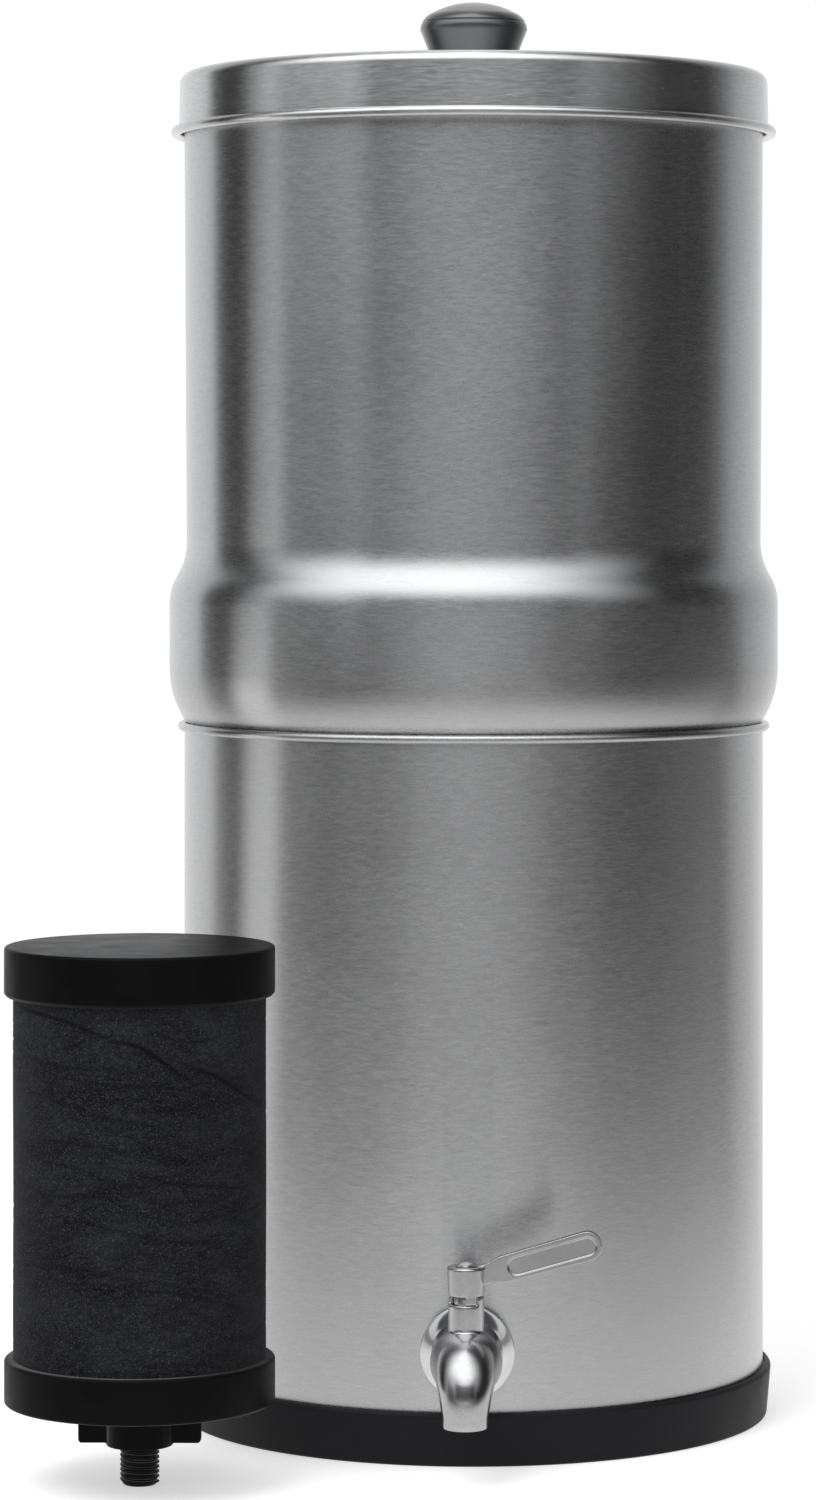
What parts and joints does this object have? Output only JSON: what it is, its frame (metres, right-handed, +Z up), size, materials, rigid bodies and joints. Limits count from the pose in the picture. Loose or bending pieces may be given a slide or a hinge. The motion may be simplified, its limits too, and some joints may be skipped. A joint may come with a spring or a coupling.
{
  "type": "gravity water filter with tap",
  "caption": "Countertop gravity water filter: two stacked steel chambers on a rubber base, a lid with a knob, a lever tap and a filter cartridge beside it.",
  "frame": {"origin": "centre of the base's flat underside, on the table", "axes": "+Z up, the tap points to -Y, the tap's lever points to +X when closed"},
  "size_m": [0.281, 0.3086, 0.5413],
  "materials": {
    "brushed_steel": "satin",
    "tap_steel": "satin",
    "chrome": "polished",
    "black_rubber": "satin",
    "charcoal_plastic": "satin",
    "black_plastic": "satin",
    "carbon": "matte",
    "fleece": "matte"
  },
  "bodies": {
    "stand": {"base_boot": "black_rubber", "lower_chamber": "brushed_steel", "tap_outer_gasket": "black_rubber", "tap_inner_gasket": "black_rubber", "tap_flange": "chrome", "tap_washer": "tap_steel", "tap_lock_nut": "tap_steel", "tap_body": "tap_steel"},
    "tap_handle": {"valve_spindle": "tap_steel", "valve_seals": "black_rubber", "tap_lever": "tap_steel", "lever_screw": "chrome"},
    "upper": {"upper_chamber": "brushed_steel", "fitted_foot_cap": "black_plastic", "fitted_carbon_block": "carbon", "fitted_fleece_wrap": "fleece", "fitted_top_cap": "black_plastic", "fitted_washer": "black_rubber"},
    "fitted_nut": {"fitted_wing_nut": "black_plastic"},
    "plug": {"hole_plug": "black_rubber"},
    "cover": {"lid": "brushed_steel", "lid_knob": "charcoal_plastic", "knob_screw": "tap_steel", "knob_washer": "tap_steel"},
    "spare": {"spare_foot_cap": "black_plastic", "spare_carbon_block": "carbon", "spare_fleece_wrap": "fleece", "spare_top_cap": "black_plastic", "spare_washer": "black_rubber"},
    "spare_nut": {"spare_wing_nut": "black_plastic"}
  },
  "joints": [
    {"name": "lever_turn", "type": "hinge", "parent": "stand", "child": "tap_handle", "pos_m": [0, -0.13395, 0.066], "axis": [0, 0, 1], "range_deg": [-90, 0]},
    {"name": "upper_lift", "type": "slide", "parent": "stand", "child": "upper", "axis": [0, 0, 1], "range_m": [0, 0.3]},
    {"name": "lid_lift", "type": "slide", "parent": "upper", "child": "cover", "axis": [0, 0, 1], "range_m": [0, 0.25]},
    {"name": "plug_pull", "type": "slide", "parent": "upper", "child": "plug", "axis": [0, 0, 1], "range_m": [0, 0.2]},
    {"name": "fitted_nut_spin", "type": "hinge", "parent": "upper", "child": "fitted_nut", "pos_m": [-0.052, 0, 0.24], "axis": [0, 0, 1], "continuous": true},
    {"name": "spare_lift", "type": "slide", "parent": "stand", "child": "spare", "axis": [0, 0, 1], "range_m": [0, 0.25]},
    {"name": "spare_nut_spin", "type": "hinge", "parent": "spare", "child": "spare_nut", "pos_m": [-0.116, -0.1435, 0.02], "axis": [0, 0, 1], "continuous": true}
  ]
}
